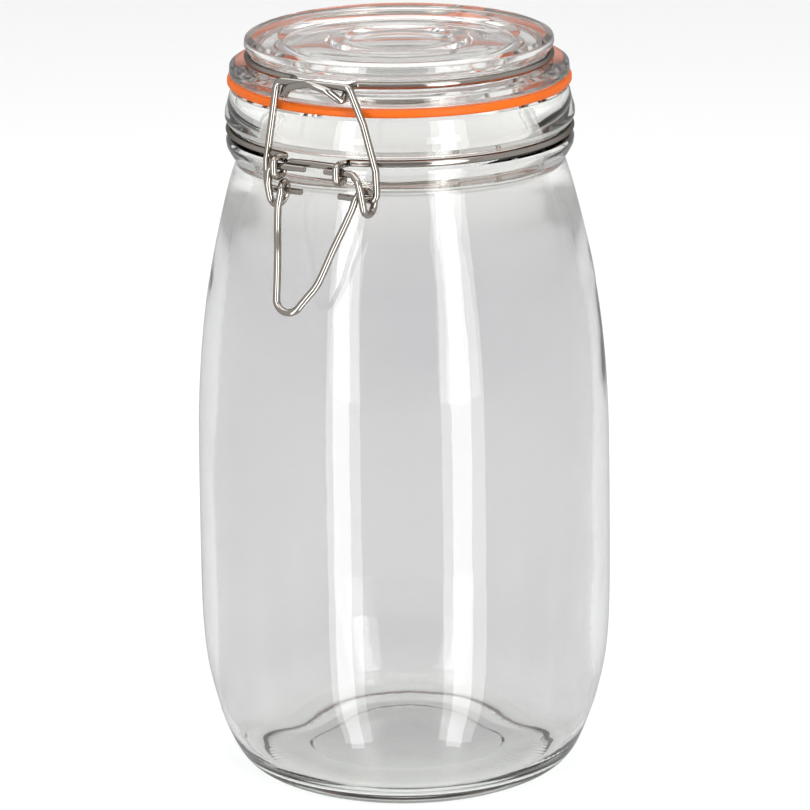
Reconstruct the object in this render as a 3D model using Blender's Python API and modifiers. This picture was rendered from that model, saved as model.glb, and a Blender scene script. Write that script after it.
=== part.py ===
"""Clip-top canning jar: barrel body, glass lid, rubber seal and a four-piece wire closure.

Metres, +Z up. The jar stands on z = 0 with its clasp toward -Y. Lengths below are written in
millimetres and scaled by MM. Every piece is drawn round the jar's own axis, and the whole is then
set back by AXIS_Y, so that its footprint, clasp included, is centred on the origin. A front place
is (x, out, z), where out is the distance from the jar's axis toward the clasp.
"""

import math

import bpy
from mathutils import Vector

MM = 0.001
AXIS_Y = 3.8

# Turned pieces
TURN_STEPS = 40
SEAL_RADIUS = 47.75
SEAL_BORE = 39.8
SEAL_LOW = 197.3
SEAL_HIGH = 199.5
RIM_HEIGHT = 197.0
MOUTH_RADIUS = 40.3
BODY_RADIUS = 58.4
BASE_RING_RADIUS = 44.0

# Wire, all of one gauge
WIRE_RADIUS = 1.0
BEND_RADIUS = 2.0
ARC_STEP = math.radians(9.0)

# The ring in the neck groove, with its two front eyes and the hinge bar behind
NECK_RING_RADIUS = 47.45
NECK_RING_Z = 184.9
EYE_X = 9.6
HINGE_OUT = 51.4
HINGE_Z = 202.7
HINGE_HALF = 8.0

# The ring in the lid groove, with its front hook and the two curls behind
LID_RING_RADIUS = 42.0
LID_RING_Z = 205.0
HOOK_X = 9.2
CURL_X = 4.3
CURL_RADIUS = LID_RING_Z - HINGE_Z

# Pivot lines of the lever in the eyes and of the bail in the lever
LEVER_OUT = 51.1
LEVER_Z = 183.0
BAIL_OUT = 49.4
BAIL_Z = 176.1

# The lever's two coils, round the bail's stubs
COIL_OUT = 49.5
COIL_Z = 175.2
COIL_RADIUS = 3.1
COIL_STEP = math.radians(20.0)

# Middle and radius of the bend at the tip of the lever's V
TIP_X = 0.8
TIP_OUT = 64.3
TIP_Z = 150.7
TIP_RADIUS = 4.0


def clear_scene():
    for item in list(bpy.data.objects):
        bpy.data.objects.remove(item, do_unlink=True)


def make_collection(name):
    collection = bpy.data.collections.new(name)
    bpy.context.scene.collection.children.link(collection)
    return collection


def make_material(name, colour, roughness, metallic=0.0, transmission=0.0):
    material = bpy.data.materials.new(name)
    material.use_nodes = True
    shader = material.node_tree.nodes["Principled BSDF"]
    shader.inputs["Base Color"].default_value = (*colour, 1.0)
    shader.inputs["Roughness"].default_value = roughness
    shader.inputs["Metallic"].default_value = metallic
    shader.inputs["Transmission Weight"].default_value = transmission
    material.diffuse_color = (*colour, 1.0)
    return material


def front(x, out, z):
    """A place on the clasp's side of the jar's axis, in metres."""
    return Vector((x, -out, z)) * MM


def turned(name, profile, material, collection):
    """A solid of revolution from (radius, height) points that run down its outer side."""
    mesh = bpy.data.meshes.new(name)
    verts = [(radius * MM, 0.0, height * MM) for radius, height in profile]
    closed = profile[0][0] > 0.0
    edges = [(i, i + 1) for i in range(len(verts) - 1)]
    if closed:
        edges.append((len(verts) - 1, 0))
    mesh.from_pydata(verts, edges, [])
    piece = bpy.data.objects.new(name, mesh)
    collection.objects.link(piece)
    screw = piece.modifiers.new("turn", "SCREW")
    screw.axis = "Z"
    screw.angle = math.tau
    screw.steps = TURN_STEPS
    screw.render_steps = TURN_STEPS
    screw.use_merge_vertices = True
    screw.merge_threshold = 0.00001
    piece.data.materials.append(material)
    return piece


def bend_path(points, radius, closed=False):
    """Rounds every real corner of a route, as a wire bender would."""
    count = len(points)
    route = []
    for i, corner in enumerate(points):
        if not closed and i in (0, count - 1):
            route.append(corner)
            continue
        back = points[i - 1] - corner
        ahead = points[(i + 1) % count] - corner
        turn = math.pi - back.angle(ahead)
        if turn < math.radians(22.0):
            route.append(corner)
            continue
        reach = min(radius * MM * math.tan(turn / 2.0), 0.46 * back.length, 0.46 * ahead.length)
        start = corner + back.normalized() * reach
        end = corner + ahead.normalized() * reach
        steps = max(2, math.ceil(turn / math.radians(30.0)))
        for k in range(steps + 1):
            t = k / steps
            route.append(start.lerp(corner, t).lerp(corner.lerp(end, t), t))
    return route


def wire(name, points, material, collection, closed=False):
    """A round wire along a route of points."""
    route = bend_path(points, BEND_RADIUS, closed)
    curve = bpy.data.curves.new(name, "CURVE")
    curve.dimensions = "3D"
    curve.resolution_u = 1
    curve.render_resolution_u = 0
    curve.bevel_depth = WIRE_RADIUS * MM
    curve.bevel_resolution = 2
    curve.use_fill_caps = not closed
    spline = curve.splines.new("POLY")
    spline.points.add(len(route) - 1)
    for point, place in zip(spline.points, route):
        point.co = (*place, 1.0)
    spline.use_cyclic_u = closed
    piece = bpy.data.objects.new(name, curve)
    collection.objects.link(piece)
    piece.data.materials.append(material)
    return piece


def ring_arc(radius, z, start, end):
    """Points on a level ring between two angles, counted from the front toward +X."""
    count = max(2, round(abs(end - start) / ARC_STEP))
    angles = [start + (end - start) * k / count for k in range(count + 1)]
    return [Vector((radius * math.sin(a), -radius * math.cos(a), z)) * MM for a in angles]


def mirror_x(points):
    return [Vector((-p.x, p.y, p.z)) for p in reversed(points)]


def coil(x_start, x_end, start, end):
    """Part of a lever coil between two angles in degrees: 0 is its outer side, 90 its top."""
    sweep = math.radians(end - start)
    count = round(abs(sweep) / COIL_STEP)
    places = []
    for k in range(count + 1):
        angle = math.radians(start) + sweep * k / count
        x = x_start + (x_end - x_start) * k / count
        out = COIL_OUT + COIL_RADIUS * math.cos(angle)
        places.append(front(x, out, COIL_Z + COIL_RADIUS * math.sin(angle)))
    return places


def thumb_bend():
    """The round tip of the lever's V, from one arm to the other in the V's own slanted plane."""
    places = []
    for degrees in range(-72, 65, 17):
        angle = math.radians(degrees)
        down = TIP_RADIUS * math.cos(angle)
        x = TIP_X + TIP_RADIUS * math.sin(angle)
        places.append(front(x, TIP_OUT + 0.33 * down, TIP_Z - 0.94 * down))
    return places


def glass_jar(material, collection):
    inside = [
        (0.0, 7.6), (16.0, 7.1), (30.0, 5.6), (37.0, 4.4), (42.0, 4.0), (46.2, 5.6),
        (49.4, 10.4), (52.2, 20.0), (53.6, 34.0), (54.1, 50.0), (54.1, 72.0), (53.7, 96.0), (52.2, 122.0),
        (49.6, 142.0), (46.4, 156.5), (43.0, 166.0), (41.0, 173.5), (40.4, 181.0),
        (MOUTH_RADIUS, 195.4),
    ]
    rim = [(41.6, RIM_HEIGHT), (45.7, RIM_HEIGHT), (46.6, 196.3)]
    neck = [
        (47.2, 194.8), (47.9, 192.0), (48.5, 190.0), (48.6, 188.3), (47.9, 186.8),
        (46.1, 186.1), (46.0, 183.8), (47.9, 183.0), (48.4, 181.9), (48.2, 180.3),
        (47.2, 178.4), (46.1, 176.6), (45.9, 175.2),
    ]
    body = [
        (46.7, 172.6), (48.3, 167.0), (51.0, 156.0), (53.95, 142.0), (56.25, 126.0),
        (57.7, 108.0), (58.2, 90.0), (BODY_RADIUS, 60.0), (58.2, 42.0), (57.2, 30.0),
        (55.1, 20.0), (52.9, 12.6), (50.2, 6.2), (47.6, 2.2), (BASE_RING_RADIUS, 0.0),
    ]
    base = [(42.2, 0.0), (41.2, 0.5), (39.4, 1.4), (30.0, 2.3), (16.0, 3.8), (0.0, 4.2)]
    return turned("jar_glass", inside + rim + neck + body + base, material, collection)


def glass_lid(material, collection):
    top = [
        (0.0, 208.9), (13.8, 208.9), (15.2, 209.9), (18.8, 209.9), (20.4, 208.9),
        (31.8, 209.0), (33.4, 210.4), (40.6, 210.9), (42.2, 210.3), (42.9, 208.8),
        (42.6, 207.4), (41.6, 206.6),
    ]
    groove = [(40.75, 206.1), (40.65, 204.2), (42.2, 203.7)]
    flange = [(45.3, 203.6), (46.6, 202.9), (47.2, 201.6), (47.2, 200.2), (46.8, 199.8)]
    plug = [(39.5, 199.8), (39.2, 195.2), (38.4, 194.4), (35.4, 194.4), (34.2, 195.4)]
    recess = [(33.2, 203.0), (31.4, 204.4), (0.0, 204.6)]
    return turned("lid_glass", top + groove + flange + plug + recess, material, collection)


def seal_ring(material, collection):
    profile = [
        (SEAL_BORE, SEAL_HIGH), (SEAL_RADIUS - 0.4, SEAL_HIGH), (SEAL_RADIUS, SEAL_HIGH - 0.5),
        (SEAL_RADIUS, SEAL_LOW + 0.5), (SEAL_RADIUS - 0.4, SEAL_LOW), (SEAL_BORE, SEAL_LOW),
    ]
    return turned("seal_ring", profile, material, collection)


def neck_wire(material, collection):
    """The neck ring: two stirrup eyes in front hold the lever, a raised bar behind is the hinge."""
    eye = [
        front(0.0, 49.2, 184.1),
        front(6.8, 49.1, 184.0),
        front(9.1, 48.8, 182.5),
        front(9.4, 48.8, 180.4),
        front(EYE_X, 53.4, 180.3),
        front(EYE_X, 53.7, 184.9),
        front(EYE_X, 51.2, 185.5),
        front(EYE_X, 48.4, 185.0),
        front(9.8, 46.6, NECK_RING_Z),
    ]
    side = ring_arc(NECK_RING_RADIUS, NECK_RING_Z, math.radians(15.5), math.radians(168.0))
    riser = [
        Vector((HINGE_HALF, NECK_RING_RADIUS - 0.6, NECK_RING_Z)) * MM,
        Vector((HINGE_HALF, HINGE_OUT, NECK_RING_Z + 0.4)) * MM,
        Vector((HINGE_HALF, HINGE_OUT, HINGE_Z)) * MM,
    ]
    half = eye + side + riser
    return wire("neck_wire", half + mirror_x(half[1:]), material, collection, closed=True)


def lid_wire(material, collection):
    """The lid ring: a hook in front takes the bail, two curls behind turn on the hinge bar."""
    hook = [
        front(0.0, 51.0, 206.5),
        front(5.8, 50.7, 205.0),
        front(HOOK_X + 0.1, 48.5, 201.6),
        front(HOOK_X, 46.0, LID_RING_Z),
        front(HOOK_X, 41.6, LID_RING_Z),
    ]
    side = ring_arc(LID_RING_RADIUS, LID_RING_Z, math.radians(15.5), math.radians(170.5))
    leg = [
        Vector((CURL_X + 0.3, LID_RING_RADIUS + 0.6, LID_RING_Z)) * MM,
        Vector((CURL_X, HINGE_OUT - 1.2, LID_RING_Z)) * MM,
    ]
    turns = [math.radians(90.0 - 30.0 * k) for k in range(9)]
    curl = [
        Vector((CURL_X, HINGE_OUT + CURL_RADIUS * math.cos(a), HINGE_Z + CURL_RADIUS * math.sin(a))) * MM
        for a in turns
    ]
    half = hook + side + leg + curl
    return wire("lid_wire", mirror_x(half[1:]) + half, material, collection)


def lever_wire(material, collection):
    """The handle: stub, shoulder and coil on each side, and a long V between the coils."""
    left = [
        front(-1.3, LEVER_OUT, LEVER_Z),
        front(-12.2, LEVER_OUT, LEVER_Z),
        front(-11.9, 52.8, 178.0),
        *coil(-11.5, -8.2, 0.0, -340.0),
        front(-8.5, 53.4, 172.6),
        front(-7.3, 56.0, 167.1),
        front(-5.1, 60.0, 160.3),
        front(-3.5, 63.4, 153.4),
    ]
    right = [
        front(6.3, 63.7, 151.7),
        front(8.5, 62.0, 155.2),
        front(11.0, 58.6, 163.2),
        front(14.3, 53.4, 174.0),
        *coil(14.7, 17.2, 20.0, 160.0),
        *coil(17.3, 17.3, 180.0, 340.0),
        front(17.0, 53.2, 178.2),
        front(15.4, 52.1, 181.4),
        front(13.4, LEVER_OUT, LEVER_Z),
        front(4.8, LEVER_OUT, LEVER_Z),
    ]
    return wire("lever_wire", left + thumb_bend() + right, material, collection)


def bail_wire(material, collection):
    """The pull loop: its stubs turn in the lever's coils, its top bar lies behind the hook."""
    points = [
        front(-3.4, BAIL_OUT, BAIL_Z),
        front(-14.1, BAIL_OUT, BAIL_Z),
        front(-14.3, 49.0, 184.0),
        front(-10.9, 48.4, 205.9),
        front(11.1, 48.4, 205.9),
        front(15.5, 48.6, 196.2),
        front(19.2, 48.9, 184.0),
        front(19.8, BAIL_OUT, BAIL_Z),
        front(8.1, BAIL_OUT, BAIL_Z),
    ]
    return wire("bail_wire", points, material, collection)


def pivot(name, y, z, collection):
    """An empty on a joint's axis, which the moving pieces are children of."""
    empty = bpy.data.objects.new(name, None)
    empty.location = Vector((0.0, y, z)) * MM
    empty.empty_display_size = 0.01
    collection.objects.link(empty)
    return empty


def hang_on(piece, empty):
    piece.parent = empty
    piece.matrix_parent_inverse = empty.matrix_world.inverted()


def main():
    clear_scene()
    collection = make_collection("clip_top_jar")
    guides = make_collection("pivots")

    jar_mat = make_material("clear_glass", (0.86, 0.88, 0.87), 0.03, transmission=1.0)
    lid_mat = make_material("lid_glass_clear", (0.87, 0.88, 0.87), 0.03, transmission=1.0)
    seal_mat = make_material("orange_rubber", (0.87, 0.17, 0.01), 0.45)
    steel_mat = make_material("bright_steel", (0.62, 0.60, 0.56), 0.2, metallic=1.0)

    jar = glass_jar(jar_mat, collection)
    neck_ring = neck_wire(steel_mat, collection)

    lid_pivot = pivot("lid_pivot", HINGE_OUT, HINGE_Z, guides)
    lever_pivot = pivot("lever_pivot", -LEVER_OUT, LEVER_Z, guides)
    bail_pivot = pivot("bail_pivot", -BAIL_OUT, BAIL_Z, guides)
    bpy.context.view_layer.update()
    hang_on(bail_pivot, lever_pivot)

    hang_on(glass_lid(lid_mat, collection), lid_pivot)
    hang_on(lid_wire(steel_mat, collection), lid_pivot)
    hang_on(seal_ring(seal_mat, collection), lid_pivot)
    hang_on(lever_wire(steel_mat, collection), lever_pivot)
    hang_on(bail_wire(steel_mat, collection), bail_pivot)

    for item in (jar, neck_ring, lid_pivot, lever_pivot):
        item.location.y += AXIS_Y * MM


main()
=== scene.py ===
# %% [markdown]
# # A clip-top canning jar
# The jar is a tall barrel of clear glass. A glass lid lies on an orange rubber ring, and a closure
# of bright wire holds it shut. Most of what the eye sees on such a thing is bent light, so this
# lesson spends its effort on three things: smooth turned glass with a real wall, wire that bends as
# wire does, and a studio whose lights draw the long soft streaks down the front.
#
# The first cell loads the jointed model that everything rides on.

# %% Load the frame
import math

import bmesh
import bpy
from mathutils import Matrix, Vector, noise


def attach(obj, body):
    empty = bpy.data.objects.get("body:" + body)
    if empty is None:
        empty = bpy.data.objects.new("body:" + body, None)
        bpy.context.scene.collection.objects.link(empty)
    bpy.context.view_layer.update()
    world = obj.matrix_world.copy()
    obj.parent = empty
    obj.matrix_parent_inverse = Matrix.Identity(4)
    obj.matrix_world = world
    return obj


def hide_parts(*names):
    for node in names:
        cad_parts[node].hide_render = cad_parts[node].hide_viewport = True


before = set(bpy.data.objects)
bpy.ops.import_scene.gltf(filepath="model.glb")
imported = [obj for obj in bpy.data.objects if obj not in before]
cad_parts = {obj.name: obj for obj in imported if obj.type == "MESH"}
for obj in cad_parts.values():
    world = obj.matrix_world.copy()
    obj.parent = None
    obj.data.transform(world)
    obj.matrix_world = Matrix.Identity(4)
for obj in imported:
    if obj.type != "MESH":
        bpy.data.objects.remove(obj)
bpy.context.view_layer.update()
MM = 0.001
AXIS = Vector((0.0, 3.8, 0.0)) * MM
scene = bpy.context.scene

# %% [markdown]
# ## Camera
# A long lens stands well back and looks down a little, as for a catalogue picture: level circles
# turn into flat ovals and upright sides stay nearly parallel. The camera is given by where it
# stands and which way it looks, and its matrix is built from three directions. An aim constraint
# would do too, but it can't hold the slight roll.

# %% Camera
VIEW_AZIMUTH = math.radians(28.7)
VIEW_DISTANCE = 1.1874
VIEW_HEIGHT = 0.4588
VIEW_DOWN = math.radians(16.663)
VIEW_TURN = math.radians(0.0193)
VIEW_ROLL = math.radians(-0.7248)


def add_camera():
    data = bpy.data.cameras.new("camera")
    data.sensor_width = 36.0
    data.lens = 194.57
    data.clip_end = 20.0
    camera = bpy.data.objects.new("camera", data)
    scene.collection.objects.link(camera)
    scene.camera = camera
    level = math.cos(VIEW_DOWN)
    ahead = Vector((math.sin(VIEW_TURN) * level, math.cos(VIEW_TURN) * level, -math.sin(VIEW_DOWN)))
    right = ahead.cross(Vector((0.0, 0.0, 1.0))).normalized()
    up = right.cross(ahead)
    right, up = (
        math.cos(VIEW_ROLL) * right + math.sin(VIEW_ROLL) * up,
        math.cos(VIEW_ROLL) * up - math.sin(VIEW_ROLL) * right,
    )
    facing = Matrix((right, up, -ahead)).transposed().to_4x4()
    place = Matrix.Translation((0.0, -VIEW_DISTANCE, VIEW_HEIGHT))
    round_jar = Matrix.Translation(AXIS) @ Matrix.Rotation(VIEW_AZIMUTH, 4, "Z")
    camera.matrix_world = round_jar @ place @ facing
    return camera


camera = add_camera()
print("camera at", [round(v, 3) for v in camera.matrix_world.translation])

# %% [markdown]
# ## Effects that several finishes share
# Every surface here varies a little: glass waves where the mould chilled it, rubber and wire carry
# fine grain, and all of them are handled. Each effect is one node group with its own inputs, so
# that a finish only says how large and how strong it wants it. A group gives back plain values and
# colours, and the shaders stay in the materials.

# %% Node group helpers
def new_group(name, inputs, outputs):
    """An empty shader group whose sockets are given as (name, kind, value)."""
    group = bpy.data.node_groups.new(name, "ShaderNodeTree")
    for label, kind, value in inputs:
        socket = group.interface.new_socket(label, in_out="INPUT", socket_type=kind)
        socket.default_value = value
    for label, kind in outputs:
        group.interface.new_socket(label, in_out="OUTPUT", socket_type=kind)
    entry = group.nodes.new("NodeGroupInput")
    leave = group.nodes.new("NodeGroupOutput")
    entry.location = (-700, 0)
    leave.location = (500, 0)
    return group, entry, leave


def add_node(tree, kind, place=(0, 0), **settings):
    node = tree.nodes.new(kind)
    node.location = place
    for key, value in settings.items():
        setattr(node, key, value)
    return node


# %% Waver: slow swells plus a finer ripple
def build_waver():
    group, entry, leave = new_group(
        "waver",
        [("Scale", "NodeSocketFloat", 20.0), ("Stretch", "NodeSocketFloat", 1.0),
         ("Fine Share", "NodeSocketFloat", 0.3)],
        [("Height", "NodeSocketFloat")],
    )
    link = group.links.new
    where = add_node(group, "ShaderNodeTexCoord", (-1100, -200))
    squeeze = add_node(group, "ShaderNodeCombineXYZ", (-900, -350))
    squeeze.inputs["X"].default_value = 1.0
    squeeze.inputs["Y"].default_value = 1.0
    link(entry.outputs["Stretch"], squeeze.inputs["Z"])
    fitted = add_node(group, "ShaderNodeVectorMath", (-700, -250), operation="MULTIPLY")
    link(where.outputs["Object"], fitted.inputs[0])
    link(squeeze.outputs["Vector"], fitted.inputs[1])
    broad = add_node(group, "ShaderNodeTexNoise", (-450, 150))
    broad.inputs["Detail"].default_value = 1.0
    fine = add_node(group, "ShaderNodeTexNoise", (-450, -250))
    fine.inputs["Detail"].default_value = 3.0
    quicker = add_node(group, "ShaderNodeMath", (-700, -50), operation="MULTIPLY")
    quicker.inputs[1].default_value = 6.0
    link(entry.outputs["Scale"], quicker.inputs[0])
    link(entry.outputs["Scale"], broad.inputs["Scale"])
    link(quicker.outputs["Value"], fine.inputs["Scale"])
    for texture in (broad, fine):
        link(fitted.outputs["Vector"], texture.inputs["Vector"])
    blend = add_node(group, "ShaderNodeMix", (0, 0), data_type="FLOAT")
    link(entry.outputs["Fine Share"], blend.inputs["Factor"])
    link(broad.outputs["Fac"], blend.inputs["A"])
    link(fine.outputs["Fac"], blend.inputs["B"])
    link(blend.outputs["Result"], leave.inputs["Height"])
    return group


# %% Handling: where fingers and cloths have dulled the shine
def build_handling():
    group, entry, leave = new_group(
        "handling",
        [("Scale", "NodeSocketFloat", 30.0), ("Clean", "NodeSocketFloat", 0.02),
         ("Dulled", "NodeSocketFloat", 0.12)],
        [("Roughness", "NodeSocketFloat"), ("Mask", "NodeSocketFloat")],
    )
    link = group.links.new
    where = add_node(group, "ShaderNodeTexCoord", (-900, -200))
    patches = add_node(group, "ShaderNodeTexNoise", (-650, -150))
    patches.inputs["Detail"].default_value = 5.0
    patches.inputs["Distortion"].default_value = 0.6
    link(where.outputs["Object"], patches.inputs["Vector"])
    link(entry.outputs["Scale"], patches.inputs["Scale"])
    mask = add_node(group, "ShaderNodeMapRange", (-400, -100))
    mask.inputs["From Min"].default_value = 0.48
    mask.inputs["From Max"].default_value = 0.74
    link(patches.outputs["Fac"], mask.inputs["Value"])
    blend = add_node(group, "ShaderNodeMix", (0, 0), data_type="FLOAT")
    link(mask.outputs["Result"], blend.inputs["Factor"])
    link(entry.outputs["Clean"], blend.inputs["A"])
    link(entry.outputs["Dulled"], blend.inputs["B"])
    link(blend.outputs["Result"], leave.inputs["Roughness"])
    link(mask.outputs["Result"], leave.inputs["Mask"])
    return group


# %% Drift: a colour that wanders between two tones
def build_drift():
    group, entry, leave = new_group(
        "drift",
        [("Scale", "NodeSocketFloat", 15.0), ("Tone", "NodeSocketColor", (0.8, 0.8, 0.8, 1.0)),
         ("Other Tone", "NodeSocketColor", (0.7, 0.7, 0.7, 1.0))],
        [("Color", "NodeSocketColor")],
    )
    link = group.links.new
    where = add_node(group, "ShaderNodeTexCoord", (-900, -200))
    clouds = add_node(group, "ShaderNodeTexNoise", (-650, -150))
    clouds.inputs["Detail"].default_value = 4.0
    link(where.outputs["Object"], clouds.inputs["Vector"])
    link(entry.outputs["Scale"], clouds.inputs["Scale"])
    spread = add_node(group, "ShaderNodeMapRange", (-400, -100))
    spread.inputs["From Min"].default_value = 0.3
    spread.inputs["From Max"].default_value = 0.7
    link(clouds.outputs["Fac"], spread.inputs["Value"])
    blend = add_node(group, "ShaderNodeMix", (0, 0), data_type="RGBA")
    link(spread.outputs["Result"], blend.inputs["Factor"])
    link(entry.outputs["Tone"], blend.inputs[6])
    link(entry.outputs["Other Tone"], blend.inputs[7])
    link(blend.outputs[2], leave.inputs["Color"])
    return group


waver_group = build_waver()
handling_group = build_handling()
drift_group = build_drift()
print("groups:", [g.name for g in bpy.data.node_groups])

# %% [markdown]
# ## Finishes
# Clear glass needs a real wall, an index of refraction near 1.52, and almost no roughness. Two
# things make it look like jar glass instead of crystal: a little colour, which here sits partly in
# the surface and partly in the depth of the wall, so that edges seen end-on turn grey-green, and a
# slow waver. The neck and base look lighter than the tall sides because of the light that comes
# through them. That light is painted into the surface's tone, which turns lighter towards both ends
# of the jar. For light on its way to the floor the wall counts as a plain filter, which keeps the
# floor clean of speckle.

# %% Material helpers
def start_finish(name):
    material = bpy.data.materials.new(name)
    material.use_nodes = True
    tree = material.node_tree
    return material, tree, tree.nodes["Principled BSDF"], tree.nodes["Material Output"]


def use_group(tree, group, place, **values):
    node = add_node(tree, "ShaderNodeGroup", place, node_tree=group)
    for key, value in values.items():
        node.inputs[key.replace("_", " ")].default_value = value
    return node


def add_relief(tree, shader, height, strength, distance, place=(-300, -400)):
    bump = add_node(tree, "ShaderNodeBump", place)
    bump.inputs["Strength"].default_value = strength
    bump.inputs["Distance"].default_value = distance
    tree.links.new(height, bump.inputs["Height"])
    tree.links.new(bump.outputs["Normal"], shader.inputs["Normal"])
    return bump


# %% Glass
GLASS_INDEX = 1.52
FADE_HEIGHT = 0.03


def glass_finish(name, tone, other_tone, depth_tone, density, wave, rough, middle, reach):
    """Clear glass whose tone turns, beyond a reach in metres from its middle height, to an end tone:
    painted light at the jar's neck and base.
    """
    material, tree, shader, output = start_finish(name)
    link = tree.links.new
    shader.inputs["IOR"].default_value = GLASS_INDEX
    shader.inputs["Transmission Weight"].default_value = 1.0
    drift = use_group(tree, drift_group, (-600, 300), Scale=18.0)
    drift.inputs["Tone"].default_value = (*tone, 1.0)
    drift.inputs["Other Tone"].default_value = (*other_tone, 1.0)
    where = add_node(tree, "ShaderNodeTexCoord", (-1100, 550))
    parts = add_node(tree, "ShaderNodeSeparateXYZ", (-900, 550))
    link(where.outputs["Object"], parts.inputs["Vector"])
    away = add_node(tree, "ShaderNodeMath", (-800, 650), operation="SUBTRACT")
    away.inputs[1].default_value = middle
    link(parts.outputs["Z"], away.inputs[0])
    distance = add_node(tree, "ShaderNodeMath", (-750, 550), operation="ABSOLUTE")
    link(away.outputs["Value"], distance.inputs[0])
    ends = add_node(tree, "ShaderNodeMapRange", (-600, 550), interpolation_type="SMOOTHSTEP")
    ends.inputs["From Min"].default_value = reach
    ends.inputs["From Max"].default_value = reach + FADE_HEIGHT
    link(distance.outputs["Value"], ends.inputs["Value"])
    # Painted light: towards both ends the tone turns to this fixed end tone. It lightens the jar's
    # neck and base and, on the lid, darkens its top a little.
    painted_end_tone = add_node(tree, "ShaderNodeMix", (-300, 400), data_type="RGBA")
    painted_end_tone.inputs[7].default_value = (0.93, 0.925, 0.905, 1.0)
    link(ends.outputs["Result"], painted_end_tone.inputs["Factor"])
    link(drift.outputs["Color"], painted_end_tone.inputs[6])
    link(painted_end_tone.outputs[2], shader.inputs["Base Color"])
    handled = use_group(tree, handling_group, (-600, 50), Scale=35.0, Clean=rough, Dulled=rough + 0.03)
    link(handled.outputs["Roughness"], shader.inputs["Roughness"])
    swells = use_group(tree, waver_group, (-600, -350), Scale=28.0, Stretch=0.35, Fine_Share=0.12)
    add_relief(tree, shader, swells.outputs["Height"], wave, 0.002)
    filter_only = add_node(tree, "ShaderNodeBsdfTransparent", (50, 250))
    filter_only.inputs["Color"].default_value = (0.97, 0.98, 0.975, 1.0)
    path = add_node(tree, "ShaderNodeLightPath", (50, 600))
    choice = add_node(tree, "ShaderNodeMixShader", (350, 200))
    link(path.outputs["Is Shadow Ray"], choice.inputs["Fac"])
    link(shader.outputs["BSDF"], choice.inputs[1])
    link(filter_only.outputs["BSDF"], choice.inputs[2])
    link(choice.outputs["Shader"], output.inputs["Surface"])
    depth = add_node(tree, "ShaderNodeVolumeAbsorption", (350, -150))
    depth.inputs["Color"].default_value = (*depth_tone, 1.0)
    depth.inputs["Density"].default_value = density
    link(depth.outputs["Volume"], output.inputs["Volume"])
    return material


jar_finish = glass_finish(
    "clear_glass", (0.77, 0.765, 0.77), (0.745, 0.74, 0.75), (0.72, 0.86, 0.74), 4.0,
    wave=0.10, rough=0.0, middle=0.085, reach=0.062,
)
# The lid's own tone is lighter than the end tone, so its top comes out a little darker.
lid_finish = glass_finish(
    "lid_glass_clear", (0.98, 0.97, 0.97), (0.96, 0.95, 0.95), (0.80, 0.84, 0.80), 5.0,
    wave=0.06, rough=0.04, middle=0.0, reach=0.19,
)

# %% [markdown]
# Seal rubber is smooth and a little waxy: a saturated orange, broad highlights, and a grain that
# only shows in the highlight. The wire is nickelled steel, drawn through a die, so its marks run
# fine and its reflections are sharp, with a brown cast where the plating is thin.

# %% Rubber and wire
def rubber_finish():
    material, tree, shader, _ = start_finish("orange_rubber")
    link = tree.links.new
    shader.inputs["Specular IOR Level"].default_value = 0.25
    drift = use_group(tree, drift_group, (-600, 300), Scale=40.0)
    drift.inputs["Tone"].default_value = (0.66, 0.118, 0.003, 1.0)
    drift.inputs["Other Tone"].default_value = (0.62, 0.105, 0.003, 1.0)
    link(drift.outputs["Color"], shader.inputs["Base Color"])
    handled = use_group(tree, handling_group, (-600, 50), Scale=90.0, Clean=0.38, Dulled=0.55)
    link(handled.outputs["Roughness"], shader.inputs["Roughness"])
    grain = use_group(tree, waver_group, (-600, -350), Scale=400.0, Stretch=1.0, Fine_Share=0.6)
    add_relief(tree, shader, grain.outputs["Height"], 0.25, 0.0003)
    return material


def wire_finish():
    material, tree, shader, _ = start_finish("bright_steel")
    link = tree.links.new
    shader.inputs["Metallic"].default_value = 1.0
    shader.inputs["Specular Tint"].default_value = (0.50, 0.47, 0.45, 1.0)
    drift = use_group(tree, drift_group, (-600, 300), Scale=60.0)
    drift.inputs["Tone"].default_value = (0.40, 0.372, 0.342, 1.0)
    drift.inputs["Other Tone"].default_value = (0.35, 0.325, 0.297, 1.0)
    link(drift.outputs["Color"], shader.inputs["Base Color"])
    handled = use_group(tree, handling_group, (-600, 50), Scale=60.0, Clean=0.07, Dulled=0.12)
    link(handled.outputs["Roughness"], shader.inputs["Roughness"])
    marks = use_group(tree, waver_group, (-600, -350), Scale=700.0, Stretch=1.0, Fine_Share=0.5)
    add_relief(tree, shader, marks.outputs["Height"], 0.015, 0.0001)
    return material


seal_finish = rubber_finish()
steel_finish = wire_finish()
print("finishes:", [m.name for m in bpy.data.materials])

# %% [markdown]
# ## Turned glass
# Jar and lid come out of moulds that are bodies of revolution, so each is one outline swept round
# an axis. A Screw modifier would do it from an edge chain. Here the rings are written straight into
# a mesh, because the inner wall of a blown jar isn't quite round and this way each ring can carry a
# small wander. The long curves run through a few measured knots, and small corners are rounded off.

# %% Outline helpers
def smooth_run(knots, per_span=6):
    """Points on a smooth curve through every knot."""
    ends = [knots[0], *knots, knots[-1]]
    points = []
    for before, start, end, after in zip(ends, ends[1:], ends[2:], ends[3:]):
        for k in range(per_span):
            t = k / per_span
            points.append(tuple(
                0.5 * (2 * b + (c - a) * t + (2 * a - 5 * b + 4 * c - d) * t * t
                       + (3 * b - a - 3 * c + d) * t ** 3)
                for a, b, c, d in zip(before, start, end, after)
            ))
    return [*points, knots[-1]]


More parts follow.
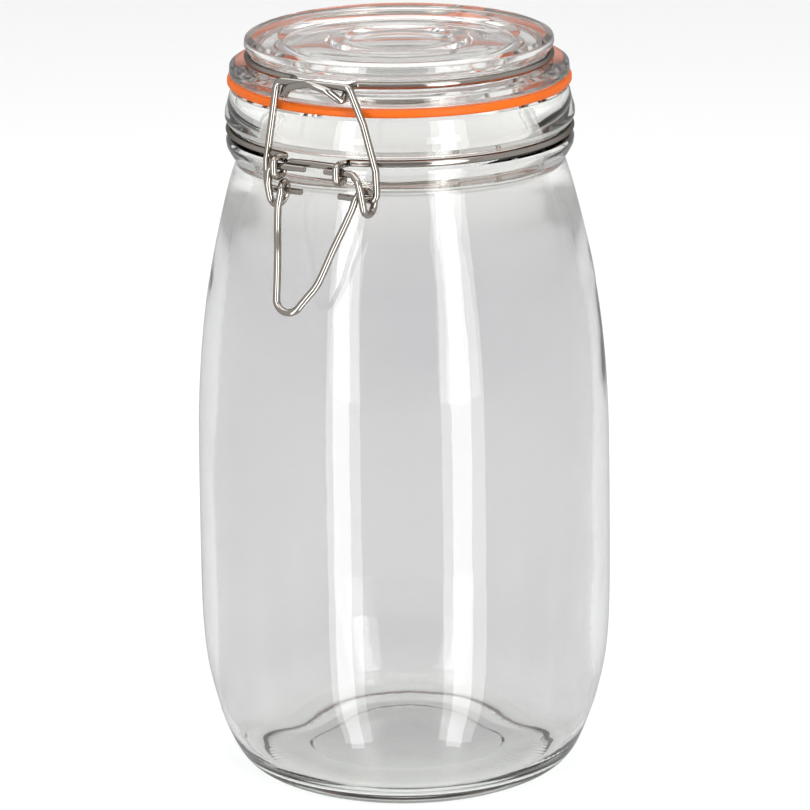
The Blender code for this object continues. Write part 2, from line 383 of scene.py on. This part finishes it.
def round_corners(points, radius, closed=False, step=math.radians(12.0), least=math.radians(16.0)):
    """Rounds every real corner of a route to about this radius, in the route's own unit."""
    count = len(points)
    points = [Vector(p) for p in points]
    route = []
    for i, corner in enumerate(points):
        if not closed and i in (0, count - 1):
            route.append(corner)
            continue
        back = points[i - 1] - corner
        ahead = points[(i + 1) % count] - corner
        turn = math.pi - back.angle(ahead)
        if turn < least:
            route.append(corner)
            continue
        reach = min(radius * math.tan(turn / 2.0), 0.46 * back.length, 0.46 * ahead.length)
        start = corner + back.normalized() * reach
        end = corner + ahead.normalized() * reach
        steps = max(2, math.ceil(turn / step))
        for k in range(steps + 1):
            t = k / steps
            route.append(start.lerp(corner, t).lerp(corner.lerp(end, t), t))
    return route


# %% Sweep an outline round the axis
def turned(name, outline, finish, segments=160, wander=None):
    """A closed mesh from (radius, height) points in millimetres; wander moves one ring point."""
    work = bmesh.new()
    rings = []
    for radius, height in outline:
        if radius < 1e-6:
            rings.append([work.verts.new((0.0, 0.0, height * MM))])
            continue
        ring = []
        for k in range(segments):
            angle = math.tau * k / segments
            r, z = wander(radius, height, angle) if wander else (radius, height)
            ring.append(work.verts.new((r * MM * math.cos(angle), r * MM * math.sin(angle), z * MM)))
        rings.append(ring)
    pairs = list(zip(rings, rings[1:]))
    if len(rings[0]) > 1:
        pairs.append((rings[-1], rings[0]))
    for upper, lower in pairs:
        for k in range(segments):
            a, b = upper[k % len(upper)], upper[(k + 1) % len(upper)]
            c, d = lower[(k + 1) % len(lower)], lower[k % len(lower)]
            corners = list(dict.fromkeys((a, b, c, d)))
            work.faces.new(corners)
    bmesh.ops.recalc_face_normals(work, faces=work.faces)
    mesh = bpy.data.meshes.new(name)
    work.to_mesh(mesh)
    work.free()
    for face in mesh.polygons:
        face.use_smooth = True
    mesh.materials.append(finish)
    piece = bpy.data.objects.new(name, mesh)
    piece.location = AXIS
    scene.collection.objects.link(piece)
    print(name, len(mesh.vertices), "points")
    return piece


# %% [markdown]
# ## The jar
# The outside was pressed by a mould and is true. The inside was blown, so its wall swells and thins
# by a few tenths of a millimetre, and that is what makes the view through it swim. The base is
# pushed up in the middle and stands on a ring, with fine short ribs all round just inside it.

# %% Jar outline
jar_inside = smooth_run([
    (0.0, 7.6), (8.0, 7.5), (16.0, 7.1), (30.0, 5.6), (37.0, 4.4), (42.0, 4.0), (46.2, 5.6),
    (49.4, 10.4), (52.2, 20.0), (53.6, 34.0), (54.1, 50.0), (54.1, 72.0), (53.7, 96.0), (52.2, 122.0),
    (49.6, 142.0), (46.4, 156.5), (43.0, 166.0), (41.0, 173.5), (40.4, 181.0), (40.3, 188.0),
    (40.3, 195.6),
], 5)
jar_rim = round_corners([
    (40.3, 195.6), (40.9, 196.6), (42.4, 197.0), (45.4, 197.0), (46.7, 196.3), (47.2, 194.8),
    (47.9, 192.0), (48.5, 190.0), (48.6, 188.3), (47.9, 186.8), (46.1, 186.1), (46.0, 183.8),
    (47.9, 183.0), (48.4, 181.9), (48.2, 180.3), (47.2, 178.4), (46.1, 176.6),
], 0.7)
jar_outside = smooth_run([
    (46.1, 176.6), (45.9, 175.2), (46.7, 172.6), (48.3, 167.0), (51.0, 156.0), (53.95, 142.0),
    (56.25, 126.0), (57.7, 108.0), (58.2, 90.0), (58.4, 60.0), (58.2, 42.0), (57.2, 30.0),
    (55.1, 20.0), (52.9, 12.6), (50.2, 6.2), (47.6, 2.2), (44.6, 0.3), (43.6, 0.0),
], 5)
jar_base = round_corners([
    (43.6, 0.0), (42.2, 0.0), (41.2, 0.5), (39.4, 1.4), (37.4, 1.7), (27.4, 2.4), (26.6, 2.9),
    (16.0, 3.8), (8.0, 4.1), (0.0, 4.2),
], 0.8)
jar_outline = [*jar_inside[:-1], *map(tuple, jar_rim[:-1]), *jar_outside[:-1], *map(tuple, jar_base)]


# %% Jar
RIBS = 96
RIB_HEIGHT = 0.12


def blown_wall(radius, height, angle):
    """The inner wall's wander, and the fine ribs inside the standing ring."""
    inside = 7.0 < height < 190.0 and radius < 54.2 and not (height > 172.0 and radius > 43.0)
    if inside and radius > 30.0:
        outer = radius > 38.0
        swell = noise.noise(Vector((math.cos(angle) * 1.3, math.sin(angle) * 1.3, height * 0.014)))
        fine = noise.noise(Vector((math.cos(angle) * 4.0, math.sin(angle) * 4.0, height * 0.03 + 9.0)))
        radius += (0.30 * swell + 0.08 * fine) * (1.0 if outer else 0.4)
    if 0.3 < height < 1.6 and 38.0 < radius < 42.0:
        height += RIB_HEIGHT * max(0.0, math.cos(RIBS * angle))
    return radius, height


glass_body = turned(
    "glass_body", [(p[0], p[1]) for p in jar_outline], jar_finish, segments=384, wander=blown_wall,
)
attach(glass_body, "jar")
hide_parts("jar_glass")

# %% [markdown]
# ## The lid
# The lid is pressed between two dies: a disc with a raised rim and a round button, a groove for its
# wire, a flange that lies on the seal, and below it a plug that centres the lid in the mouth.

# %% Lid
lid_top = round_corners([
    (0.0, 208.9), (13.6, 208.9), (15.0, 209.9), (19.0, 209.9), (20.6, 208.9), (31.6, 209.0),
    (33.4, 210.5), (40.8, 210.9), (42.7, 210.1), (42.9, 208.4), (42.4, 207.2), (41.4, 206.6),
    (40.75, 206.1), (40.65, 204.2), (42.2, 203.7), (45.5, 203.6), (47.0, 202.7), (47.2, 200.4),
    (46.6, 199.8), (39.5, 199.8), (39.2, 195.2), (38.2, 194.4), (35.4, 194.4), (34.2, 195.4),
    (33.2, 203.0), (31.4, 204.4), (0.0, 204.6),
], 0.6)
glass_cover = turned("glass_cover", [(p[0], p[1]) for p in lid_top], lid_finish)
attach(glass_cover, "lid")
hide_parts("lid_glass")

# %% [markdown]
# ## The seal
# A flat ring of soft rubber. Its edge is nipped between flange and rim, so it bulges a little at
# the middle, which a rounded outline gives.

# %% Seal
seal_outline = round_corners([
    (39.8, 199.5), (47.3, 199.5), (47.75, 198.9), (47.75, 197.9), (47.3, 197.3), (39.8, 197.3),
], 0.35, closed=True)
rubber_seal = turned("rubber_seal", [(p[0], p[1]) for p in seal_outline], seal_finish)
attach(rubber_seal, "lid")
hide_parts("seal_ring")

# %% [markdown]
# ## The wire closure
# Four lengths of one wire. Each is a route of bends with straight runs between, rounded as a
# bending tool rounds them, and swept with a curve's bevel, which keeps the section round through
# every bend. A place in front of the jar is given as (x, out, z), with out measured from the axis.

# %% Wire helpers
WIRE_RADIUS = 1.0


def front(x, out, z):
    return Vector((x, -out, z))


def ring_arc(radius, z, start, end):
    """Points on a level ring between two angles, counted from the front toward +X."""
    count = max(2, round(abs(end - start) / math.radians(3.0)))
    angles = [start + (end - start) * k / count for k in range(count + 1)]
    return [Vector((radius * math.sin(a), -radius * math.cos(a), z)) for a in angles]


def mirrored(points):
    return [Vector((-p.x, p.y, p.z)) for p in reversed(points)]


def wire(name, points, body, node, closed=False, bend=2.2):
    route = round_corners(points, bend, closed)
    curve = bpy.data.curves.new(name, "CURVE")
    curve.dimensions = "3D"
    curve.resolution_u = 1
    curve.bevel_depth = WIRE_RADIUS * MM
    curve.bevel_resolution = 7
    curve.use_fill_caps = not closed
    spline = curve.splines.new("POLY")
    spline.points.add(len(route) - 1)
    for point, place in zip(spline.points, route):
        point.co = (*(place * MM), 1.0)
    if not closed:
        spline.points[0].radius = 0.86
        spline.points[-1].radius = 0.86
    spline.use_cyclic_u = closed
    spline.use_smooth = True
    curve.materials.append(steel_finish)
    piece = bpy.data.objects.new(name, curve)
    piece.location = AXIS
    scene.collection.objects.link(piece)
    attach(piece, body)
    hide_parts(node)
    print(name, len(route), "points")
    return piece


# %% [markdown]
# The neck ring sits in its groove. In front it turns out into two eyes, in which the lever turns,
# and behind it rises into the bar that the lid hinges on.

# %% Neck ring
EYE_X = 9.6
HINGE_OUT = 51.4
HINGE_Z = 202.7
neck_half = [
    front(0.0, 49.2, 184.1), front(6.8, 49.1, 184.0), front(9.1, 48.8, 182.5),
    front(9.4, 48.8, 180.4), front(EYE_X, 53.4, 180.3), front(EYE_X, 53.7, 184.9),
    front(EYE_X, 51.2, 185.5), front(EYE_X, 48.4, 185.0), front(9.8, 46.6, 184.9),
    *ring_arc(47.45, 184.9, math.radians(15.5), math.radians(168.0)),
    Vector((8.0, 46.85, 184.9)), Vector((8.0, HINGE_OUT, 185.3)), Vector((8.0, HINGE_OUT, HINGE_Z)),
]
neck_ring = wire("neck_ring", neck_half + mirrored(neck_half[1:]), "jar", "neck_wire", closed=True)

# %% Lid ring, with its hook and its two curls
curl = [
    Vector((4.3, HINGE_OUT + 2.3 * math.cos(math.radians(90 - 15 * k)),
            HINGE_Z + 2.3 * math.sin(math.radians(90 - 15 * k))))
    for k in range(17)
]
lid_half = [
    front(0.0, 51.0, 206.5), front(5.8, 50.7, 205.0), front(9.3, 48.5, 201.6),
    front(9.2, 46.0, 205.0), front(9.2, 41.6, 205.0),
    *ring_arc(42.0, 205.0, math.radians(15.5), math.radians(170.5)),
    Vector((4.6, 42.6, 205.0)), Vector((4.3, HINGE_OUT - 1.2, 205.0)), *curl,
]
lid_ring = wire("lid_ring", mirrored(lid_half[1:]) + lid_half, "lid", "lid_wire")

# %% [markdown]
# The lever is bent from one piece: a stub in each eye, a shoulder, a coil round the bail's end, and
# the long V that a thumb pulls. A coil is a few degrees of circle at a time, moved sideways as it
# turns.

# %% Lever and bail
LEVER_OUT, LEVER_Z = 51.1, 183.0
BAIL_OUT, BAIL_Z = 49.4, 176.1
COIL_OUT, COIL_Z, COIL_RADIUS = 49.5, 175.2, 3.1
TIP_X, TIP_OUT, TIP_Z, TIP_RADIUS = 0.8, 64.27, 150.7, 4.0
TIP_LEAN, TIP_FALL = 0.33, 0.94


def coil(x_start, x_end, start, end):
    """Part of a coil between two angles in degrees: 0 is its outer side, 90 its top."""
    count = round(abs(end - start) / 8.0)
    places = []
    for k in range(count + 1):
        angle = math.radians(start + (end - start) * k / count)
        x = x_start + (x_end - x_start) * k / count
        places.append(front(
            x, COIL_OUT + COIL_RADIUS * math.cos(angle), COIL_Z + COIL_RADIUS * math.sin(angle),
        ))
    return places


def thumb_bend(start, end):
    """The round bend at the tip of the V, in the V's own slanted plane, in degrees from its tip."""
    places = []
    for degrees in range(start, end + 1, 8):
        angle = math.radians(degrees)
        down = TIP_RADIUS * math.cos(angle)
        places.append(front(
            TIP_X + TIP_RADIUS * math.sin(angle), TIP_OUT + TIP_LEAN * down, TIP_Z - TIP_FALL * down,
        ))
    return places


def eased(points):
    """The same run of places, laid on a smooth curve."""
    return [Vector(p) for p in smooth_run([tuple(p) for p in points], 4)]


lever = wire("lever_handle", [
    front(-1.3, LEVER_OUT, LEVER_Z), front(-12.2, LEVER_OUT, LEVER_Z), front(-11.9, 52.8, 178.0),
    *coil(-11.5, -8.2, 0.0, -340.0),
    *eased([
        front(-8.5, 53.4, 172.6), front(-7.3, 56.0, 167.1), front(-5.1, 60.0, 160.3),
        front(-3.5, 63.4, 153.4),
    ]),
    *thumb_bend(-72, 64),
    *eased([
        front(6.3, 63.7, 151.7), front(8.5, 62.0, 155.2), front(11.0, 58.6, 163.2),
        front(13.0, 55.6, 169.5), front(14.3, 53.4, 174.0),
    ]),
    *coil(14.7, 17.2, 20.0, 160.0), *coil(17.3, 17.3, 180.0, 340.0),
    front(17.0, 53.2, 178.2), front(15.4, 52.1, 181.4), front(13.4, LEVER_OUT, LEVER_Z),
    front(4.8, LEVER_OUT, LEVER_Z),
], "lever", "lever_wire")
bail = wire("bail_loop", [
    front(-3.4, BAIL_OUT, BAIL_Z), front(-14.1, BAIL_OUT, BAIL_Z), front(-14.3, 49.0, 184.0),
    front(-10.9, 48.4, 205.9), front(11.1, 48.4, 205.9), front(15.5, 48.6, 196.2),
    front(19.2, 48.9, 184.0), front(19.8, BAIL_OUT, BAIL_Z), front(8.1, BAIL_OUT, BAIL_Z),
], "bail", "bail_wire")

# %% [markdown]
# ## Floor and light
# A pale sweep stands for the studio table. Two tall soft panels at the front draw the two upright
# streaks on the glass, and a narrow brighter strip before each gives the wire its sharp white line.
# A broad panel overhead lights the floor. The room is even but for two quieter parts: behind the
# camera, so that the glass between the streaks stays clear, and straight across from it, so that the
# jar's outline doesn't glare.

# %% Floor
def add_floor():
    mesh = bpy.data.meshes.new("floor")
    half, depth, rise = 6.0, 5.0, 1.2
    outline = [(-depth, 0.0), (depth - rise, 0.0)]
    outline += [
        (depth - rise + rise * math.sin(a), rise - rise * math.cos(a))
        for a in (math.radians(7.5 * k) for k in range(1, 13))
    ]
    outline.append((depth, 4.0))
    verts = [(x, y, z) for y, z in outline for x in (-half, half)]
    faces = [(2 * i, 2 * i + 1, 2 * i + 3, 2 * i + 2) for i in range(len(outline) - 1)]
    mesh.from_pydata(verts, [], faces)
    for face in mesh.polygons:
        face.use_smooth = True
    floor = bpy.data.objects.new("floor", mesh)
    floor.rotation_euler.z = VIEW_AZIMUTH
    scene.collection.objects.link(floor)
    material, tree, shader, _ = start_finish("table_paint")
    drift = use_group(tree, drift_group, (-600, 300), Scale=1.5)
    drift.inputs["Tone"].default_value = (0.86, 0.86, 0.86, 1.0)
    drift.inputs["Other Tone"].default_value = (0.84, 0.84, 0.845, 1.0)
    tree.links.new(drift.outputs["Color"], shader.inputs["Base Color"])
    shader.inputs["Roughness"].default_value = 0.9
    shader.inputs["Specular IOR Level"].default_value = 0.1
    mesh.materials.append(material)
    floor.visible_glossy = False
    return floor


floor = add_floor()


# %% Lights
def add_panel(name, azimuth, distance, height, size, power, aim_height=0.1):
    """A soft panel at an angle from the camera's side of the jar, facing the jar."""
    data = bpy.data.lights.new(name, "AREA")
    data.shape = "RECTANGLE"
    data.size, data.size_y = size
    data.energy = power
    panel = bpy.data.objects.new(name, data)
    turn = VIEW_AZIMUTH + math.radians(azimuth)
    place = AXIS + Vector((math.sin(turn) * distance, -math.cos(turn) * distance, height))
    aim = AXIS + Vector((0.0, 0.0, aim_height)) - place
    panel.location = place
    panel.rotation_euler = aim.to_track_quat("-Z", "Y").to_euler()
    scene.collection.objects.link(panel)
    panel.visible_camera = False
    return panel


add_panel("left_streak", -33.0, 1.0, 0.10, (0.34, 2.2), 7.0)
add_panel("right_streak", 32.0, 1.0, 0.10, (0.42, 2.2), 8.5)
add_panel("left_core", -34.0, 0.97, 0.10, (0.16, 2.2), 4.5)
add_panel("right_core", 31.0, 0.97, 0.10, (0.18, 2.2), 5.0)
add_panel("overhead", 180.0, 0.25, 1.9, (2.2, 2.2), 24.0)


# %% Room
ROOM_STRENGTH = 0.68
STRENGTH_BEHIND_CAMERA = 0.40
STRENGTH_ACROSS = 0.42


def add_room():
    world = bpy.data.worlds.new("room")
    world.use_nodes = True
    tree = world.node_tree
    where = add_node(tree, "ShaderNodeTexCoord", (-900, 0))
    toward = add_node(tree, "ShaderNodeVectorMath", (-700, 0), operation="DOT_PRODUCT")
    toward.inputs[1].default_value = (math.sin(VIEW_AZIMUTH), -math.cos(VIEW_AZIMUTH), 0.0)
    tree.links.new(where.outputs["Generated"], toward.inputs[0])
    spread = add_node(tree, "ShaderNodeMapRange", (-500, 0))
    spread.inputs["From Min"].default_value = 0.55
    spread.inputs["From Max"].default_value = 0.95
    spread.inputs["To Min"].default_value = ROOM_STRENGTH
    spread.inputs["To Max"].default_value = STRENGTH_BEHIND_CAMERA
    tree.links.new(toward.outputs["Value"], spread.inputs["Value"])
    beyond = add_node(tree, "ShaderNodeMapRange", (-500, -300))
    beyond.inputs["From Min"].default_value = -0.95
    beyond.inputs["From Max"].default_value = -0.45
    beyond.inputs["To Min"].default_value = STRENGTH_ACROSS
    beyond.inputs["To Max"].default_value = ROOM_STRENGTH
    tree.links.new(toward.outputs["Value"], beyond.inputs["Value"])
    lesser = add_node(tree, "ShaderNodeMath", (-300, 0), operation="MINIMUM")
    tree.links.new(spread.outputs["Result"], lesser.inputs[0])
    tree.links.new(beyond.outputs["Result"], lesser.inputs[1])
    tree.links.new(lesser.outputs["Value"], tree.nodes["Background"].inputs["Strength"])
    tree.nodes["Background"].inputs["Color"].default_value = (1.0, 1.0, 1.0, 1.0)
    scene.world = world


add_room()
scene.view_settings.view_transform = "Standard"
scene.cycles.use_denoising = True
scene.cycles.max_bounces = 24
scene.cycles.transmission_bounces = 24
scene.cycles.glossy_bounces = 8
scene.cycles.transparent_max_bounces = 24
scene.cycles.caustics_reflective = False
